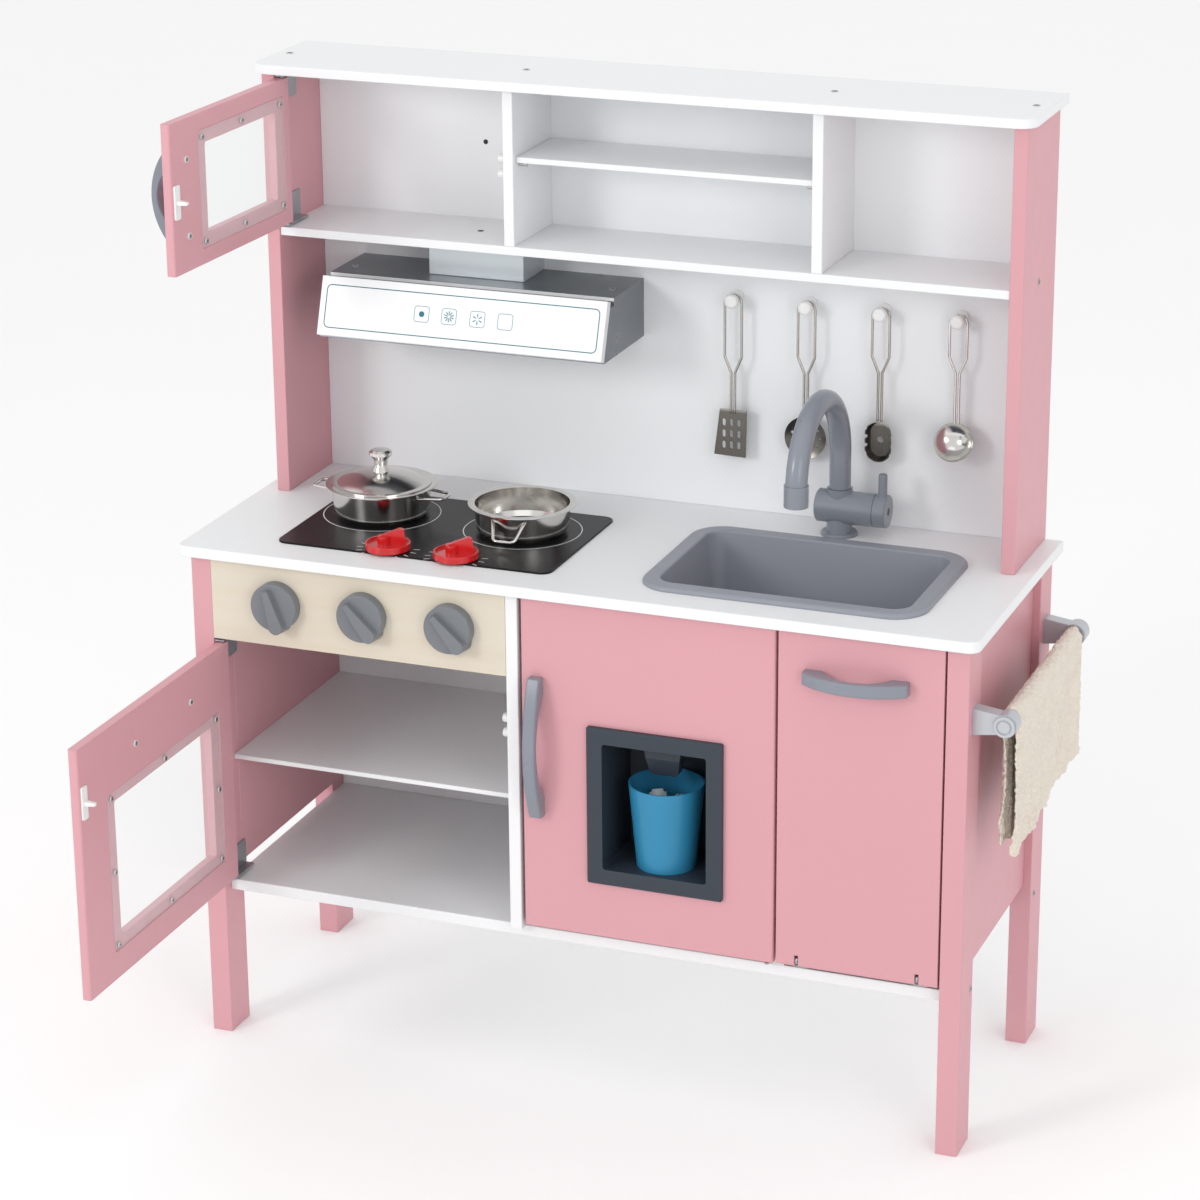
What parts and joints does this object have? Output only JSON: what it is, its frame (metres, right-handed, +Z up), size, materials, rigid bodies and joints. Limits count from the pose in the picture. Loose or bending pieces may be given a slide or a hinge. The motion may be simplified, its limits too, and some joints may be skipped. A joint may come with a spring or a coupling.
{
  "type": "toy kitchen",
  "caption": "Freestanding wooden play kitchen with a hob, sink, tap, hood, knobs, hinged doors, shelves, utensils on pegs, pots and a towel on a rail.",
  "frame": {"origin": "bottom centre of the box round the whole kitchen with its oven and microwave doors open, on the floor", "axes": "+Z up, +X to the user's right, +Y from the front towards the back panel"},
  "size_m": [0.8798, 0.614, 1.0006],
  "materials": {
    "pink_board": "satin painted",
    "white_board": "satin painted",
    "birch_board": "satin lacquered",
    "hood_grey": "satin painted",
    "hood_silver": "satin painted",
    "black_gloss": "gloss",
    "grey_plastic": "satin",
    "dark_plastic": "matte",
    "silver_plastic": "satin",
    "red_plastic": "gloss",
    "white_plastic": "satin",
    "steel": "polished",
    "zinc": "plated",
    "clear_sheet": "clear acrylic",
    "blue_tumbler": "translucent",
    "terry": "looped pile"
  },
  "bodies": {
    "cabinet": {"front_legs": "pink_board", "rear_legs": "pink_board", "left_side_panel": "pink_board", "right_side_panel": "pink_board", "left_upper_side": "pink_board", "right_upper_side": "pink_board", "bottom_board": "white_board", "lower_back_panel": "white_board", "oven_divider": "white_board", "fridge_divider": "white_board", "oven_shelf": "white_board", "worktop": "white_board", "top_board": "white_board", "upper_shelf": "white_board", "upper_dividers": "white_board", "centre_shelf": "white_board", "upper_back_panel": "white_board", "hood_front": "white_board", "control_panel": "birch_board", "hood_body": "hood_grey", "hood_chimney": "hood_silver", "hob_panel": "black_gloss", "sink_basin": "grey_plastic", "tap_body": "grey_plastic", "towel_brackets": "silver_plastic", "towel_rail": "silver_plastic", "utensil_pegs": "white_plastic", "roller_catches": "white_plastic", "pivot_hinges": "zinc", "cabinet_fasteners": "zinc", "towel": "terry"},
    "oven_door": {"oven_door_panel": "pink_board", "oven_door_window": "clear_sheet", "oven_door_handle": "grey_plastic", "oven_door_fittings": "white_plastic"},
    "microwave_door": {"microwave_door_panel": "pink_board", "microwave_door_window": "clear_sheet", "microwave_door_handle": "grey_plastic", "microwave_door_fittings": "white_plastic"},
    "fridge_door": {"fridge_door_panel": "pink_board", "fridge_door_handle": "grey_plastic", "dispenser_housing": "dark_plastic"},
    "dispenser_lever": {"dispenser_paddle": "dark_plastic"},
    "cup": {"cup": "blue_tumbler"},
    "drop_door": {"drop_door_panel": "pink_board", "drop_door_handle": "grey_plastic"},
    "left_knob": {"left_knob": "grey_plastic"},
    "middle_knob": {"middle_knob": "grey_plastic"},
    "right_knob": {"right_knob": "grey_plastic"},
    "left_burner_knob": {"left_burner_knob": "red_plastic"},
    "right_burner_knob": {"right_burner_knob": "red_plastic"},
    "tap_spout": {"tap_spout": "grey_plastic"},
    "tap_lever": {"tap_lever": "grey_plastic"},
    "slotted_turner": {"slotted_turner": "steel"},
    "skimmer": {"skimmer": "steel"},
    "pasta_server": {"pasta_server": "steel"},
    "ladle": {"ladle": "steel"},
    "pot": {"pot": "steel"},
    "pot_lid": {"pot_lid": "steel"},
    "pan": {"pan": "steel"}
  },
  "joints": [
    {"name": "oven_hinge", "type": "hinge", "parent": "cabinet", "child": "oven_door", "pos_m": [-0.4002, 0.007, 0.31], "axis": [0, 0, 1], "range_deg": [-9, 90]},
    {"name": "microwave_hinge", "type": "hinge", "parent": "cabinet", "child": "microwave_door", "pos_m": [-0.4002, 0.193, 0.91], "axis": [0, 0, 1], "range_deg": [-6, 92]},
    {"name": "fridge_hinge", "type": "hinge", "parent": "cabinet", "child": "fridge_door", "pos_m": [0.1903, 0.007, 0.355], "axis": [0, 0, 1], "range_deg": [0, 90]},
    {"name": "drop_hinge", "type": "hinge", "parent": "cabinet", "child": "drop_door", "pos_m": [0.2808, 0.007, 0.184], "axis": [1, 0, 0], "range_deg": [0, 90]},
    {"name": "lever_pivot", "type": "hinge", "parent": "fridge_door", "child": "dispenser_lever", "pos_m": [0.0723, 0.031, 0.3825], "axis": [1, 0, 0], "range_deg": [0, 14], "stiffness_Nm_per_rad": 0.02},
    {"name": "cup_out", "type": "slide", "parent": "fridge_door", "child": "cup", "axis": [0, -1, 0], "range_m": [0, 0.12]},
    {"name": "left_knob_turn", "type": "hinge", "parent": "cabinet", "child": "left_knob", "pos_m": [-0.3327, 0.002, 0.49], "axis": [0, -1, 0], "continuous": true},
    {"name": "middle_knob_turn", "type": "hinge", "parent": "cabinet", "child": "middle_knob", "pos_m": [-0.2377, 0.002, 0.49], "axis": [0, -1, 0], "continuous": true},
    {"name": "right_knob_turn", "type": "hinge", "parent": "cabinet", "child": "right_knob", "pos_m": [-0.1427, 0.002, 0.49], "axis": [0, -1, 0], "continuous": true},
    {"name": "left_burner_turn", "type": "hinge", "parent": "cabinet", "child": "left_burner_knob", "pos_m": [-0.2297, 0.047, 0.547], "axis": [0, 0, 1], "continuous": true},
    {"name": "right_burner_turn", "type": "hinge", "parent": "cabinet", "child": "right_burner_knob", "pos_m": [-0.1547, 0.045, 0.547], "axis": [0, 0, 1], "continuous": true},
    {"name": "spout_swivel", "type": "hinge", "parent": "cabinet", "child": "tap_spout", "pos_m": [0.1793, 0.251, 0.59], "axis": [0, 0, 1], "range_deg": [-75, 75]},
    {"name": "tap_lever_turn", "type": "hinge", "parent": "cabinet", "child": "tap_lever", "pos_m": [0.2243, 0.251, 0.574], "axis": [1, 0, 0], "range_deg": [-45, 45]},
    {"name": "slotted_turner_swing", "type": "hinge", "parent": "cabinet", "child": "slotted_turner", "pos_m": [0.0553, 0.278, 0.7716], "axis": [0, -1, 0], "range_deg": [-8, 8]},
    {"name": "skimmer_swing", "type": "hinge", "parent": "cabinet", "child": "skimmer", "pos_m": [0.1333, 0.278, 0.7716], "axis": [0, -1, 0], "range_deg": [-8, 8]},
    {"name": "pasta_server_swing", "type": "hinge", "parent": "cabinet", "child": "pasta_server", "pos_m": [0.2113, 0.278, 0.7716], "axis": [0, -1, 0], "range_deg": [-8, 8]},
    {"name": "ladle_swing", "type": "hinge", "parent": "cabinet", "child": "ladle", "pos_m": [0.2913, 0.278, 0.7716], "axis": [0, -1, 0], "range_deg": [-8, 8]},
    {"name": "pot_lift", "type": "slide", "parent": "cabinet", "child": "pot", "axis": [0, 0, 1], "range_m": [0, 0.05]},
    {"name": "lid_lift", "type": "slide", "parent": "pot", "child": "pot_lid", "axis": [0, 0, 1], "range_m": [0, 0.05]},
    {"name": "pan_lift", "type": "slide", "parent": "cabinet", "child": "pan", "axis": [0, 0, 1], "range_m": [0, 0.05]}
  ]
}
